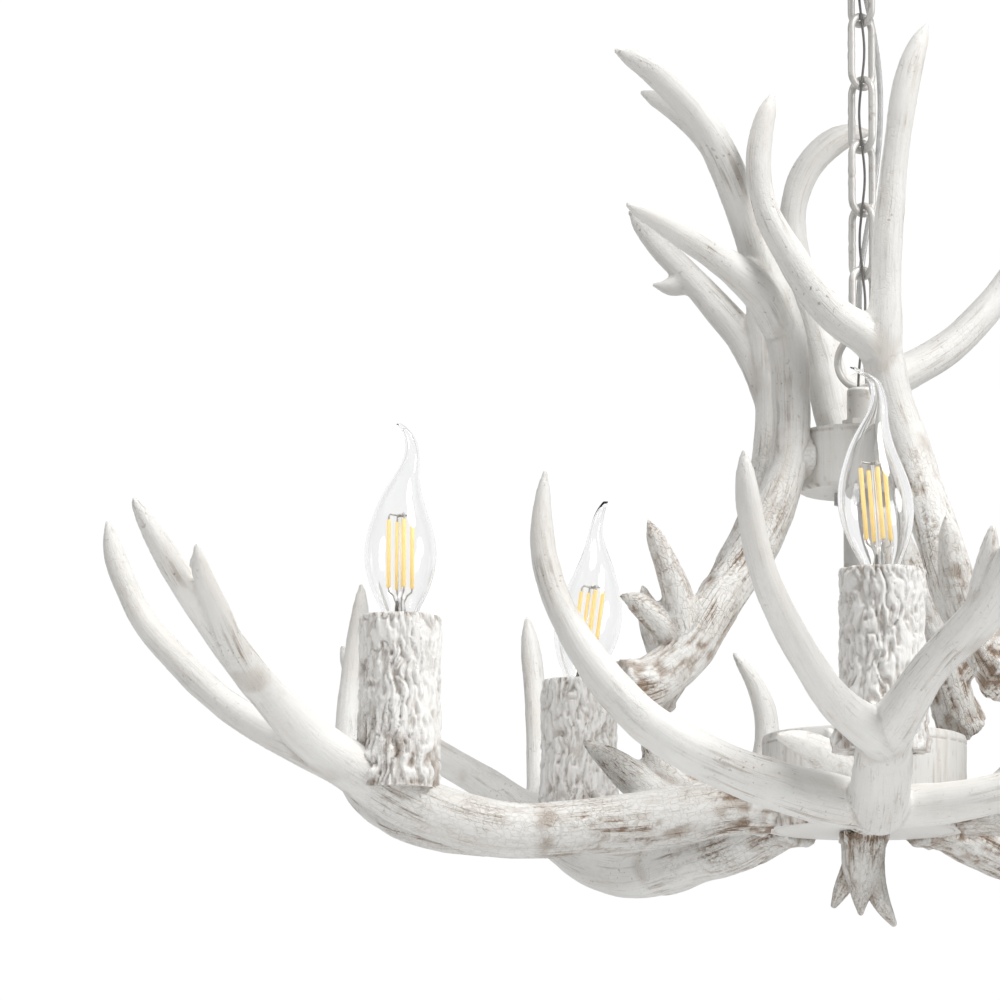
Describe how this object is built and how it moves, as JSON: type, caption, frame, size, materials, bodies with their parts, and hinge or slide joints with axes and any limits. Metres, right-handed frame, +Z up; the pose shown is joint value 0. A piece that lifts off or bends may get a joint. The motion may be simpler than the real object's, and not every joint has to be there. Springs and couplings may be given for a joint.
{
  "type": "antler chandelier",
  "caption": "Hanging chandelier of curved antlers on two drums, with candle-sleeved flame bulbs, chain and canopy",
  "frame": {"origin": "centre of the ceiling crossbar's top face, where it meets the ceiling", "axes": "+Z up, -Y toward the viewer of the picture, +X to the viewer's right"},
  "size_m": [0.729, 0.7096, 0.5193],
  "materials": {
    "antler_resin": "white resin with brown-grey wash in the creases, smooth toward the tips",
    "bark_resin": "deeply grooved bark texture, white with brown wash",
    "drum_resin": "lightly fluted, white with brown wash at the rims",
    "white_metal": "satin off-white enamel",
    "chain_metal": "aged off-white over grey",
    "zinc": "zinc-plated",
    "bulb_clear": "clear polished glass",
    "filament": "yellow phosphor rods",
    "bulb_cap": "bright screw cap",
    "holder_plastic": "ivory thermoset",
    "cord_clear": "clear PVC over tinned wire",
    "earth_dark": "thin dark wire"
  },
  "bodies": {
    "ceiling_fitting": {"ceiling_crossbar": "zinc", "crossbar_nut": "zinc", "canopy_loop": "white_metal", "supply_cord": "cord_clear", "earth_wire": "earth_dark"},
    "canopy": {"canopy": "white_metal"},
    "ring_nut": {"ring_nut": "white_metal"},
    "link_1": {"chain_link_1": "chain_metal"},
    "link_2": {"chain_link_2": "chain_metal"},
    "link_3": {"chain_link_3": "chain_metal"},
    "link_4": {"chain_link_4": "chain_metal"},
    "link_5": {"chain_link_5": "chain_metal"},
    "link_6": {"chain_link_6": "chain_metal"},
    "chandelier": {"hub_loop": "white_metal", "hub_lock_nut": "zinc", "hub_washer": "zinc", "upper_drum": "drum_resin", "upper_screws": "zinc", "stem_nut": "zinc", "stem_tube": "white_metal", "threaded_rod": "zinc", "lower_drum": "drum_resin", "lower_cap": "drum_resin", "drum_nuts": "zinc", "lower_bolts": "zinc", "finial_antler": "antler_resin", "lampholders": "holder_plastic", "candle_nipples": "zinc", "lower_antler_1": "antler_resin", "lower_antler_2": "antler_resin", "lower_antler_3": "antler_resin", "lower_antler_4": "antler_resin", "lower_antler_5": "antler_resin", "upper_antler_1": "antler_resin", "upper_antler_2": "antler_resin", "upper_antler_3": "antler_resin", "upper_antler_4": "antler_resin", "candle_sleeve_1": "bark_resin", "candle_sleeve_2": "bark_resin", "candle_sleeve_3": "bark_resin", "candle_sleeve_4": "bark_resin", "candle_sleeve_5": "bark_resin"},
    "bulb_1": {"bulb_base_1": "bulb_cap", "bulb_glass_1": "bulb_clear", "bulb_core_1": "filament"},
    "bulb_2": {"bulb_base_2": "bulb_cap", "bulb_glass_2": "bulb_clear", "bulb_core_2": "filament"},
    "bulb_3": {"bulb_base_3": "bulb_cap", "bulb_glass_3": "bulb_clear", "bulb_core_3": "filament"},
    "bulb_4": {"bulb_base_4": "bulb_cap", "bulb_glass_4": "bulb_clear", "bulb_core_4": "filament"},
    "bulb_5": {"bulb_base_5": "bulb_cap", "bulb_glass_5": "bulb_clear", "bulb_core_5": "filament"}
  },
  "joints": [
    {"name": "link_6_swing", "type": "hinge", "parent": "ceiling_fitting", "child": "link_6", "pos_m": [0, 0, -0.05315], "axis": [0.7071, 0.7071, 0], "range_deg": [-8, 8], "deforming": ["supply_cord", "earth_wire"]},
    {"name": "link_5_swing", "type": "hinge", "parent": "link_6", "child": "link_5", "pos_m": [0, 0, -0.08405], "axis": [0.7071, -0.7071, 0], "range_deg": [-8, 8]},
    {"name": "link_4_swing", "type": "hinge", "parent": "link_5", "child": "link_4", "pos_m": [0, 0, -0.11495], "axis": [0.7071, 0.7071, 0], "range_deg": [-8, 8]},
    {"name": "link_3_swing", "type": "hinge", "parent": "link_4", "child": "link_3", "pos_m": [0, 0, -0.14585], "axis": [0.7071, -0.7071, 0], "range_deg": [-8, 8]},
    {"name": "link_2_swing", "type": "hinge", "parent": "link_3", "child": "link_2", "pos_m": [0, 0, -0.17675], "axis": [0.7071, 0.7071, 0], "range_deg": [-8, 8]},
    {"name": "link_1_swing", "type": "hinge", "parent": "link_2", "child": "link_1", "pos_m": [0, 0, -0.20765], "axis": [0.7071, -0.7071, 0], "range_deg": [-8, 8]},
    {"name": "chandelier_swing", "type": "hinge", "parent": "link_1", "child": "chandelier", "pos_m": [0, 0, -0.23855], "axis": [0.7071, 0.7071, 0], "range_deg": [-10, 10]},
    {"name": "canopy_drop", "type": "slide", "parent": "ceiling_fitting", "child": "canopy", "axis": [0, 0, -1], "range_m": [0, 0.02]},
    {"name": "ring_nut_drop", "type": "slide", "parent": "ceiling_fitting", "child": "ring_nut", "axis": [0, 0, -1], "range_m": [0, 0.02]},
    {"name": "bulb_1_unscrew", "type": "slide", "parent": "chandelier", "child": "bulb_1", "axis": [0, 0, 1], "range_m": [0, 0.03]},
    {"name": "bulb_2_unscrew", "type": "slide", "parent": "chandelier", "child": "bulb_2", "axis": [0, 0, 1], "range_m": [0, 0.03]},
    {"name": "bulb_3_unscrew", "type": "slide", "parent": "chandelier", "child": "bulb_3", "axis": [0, 0, 1], "range_m": [0, 0.03]},
    {"name": "bulb_4_unscrew", "type": "slide", "parent": "chandelier", "child": "bulb_4", "axis": [0, 0, 1], "range_m": [0, 0.03]},
    {"name": "bulb_5_unscrew", "type": "slide", "parent": "chandelier", "child": "bulb_5", "axis": [0, 0, 1], "range_m": [0, 0.03]}
  ],
  "couplings": [
    {"joint": "ring_nut_drop", "follows": "canopy_drop", "ratio": 1}
  ]
}
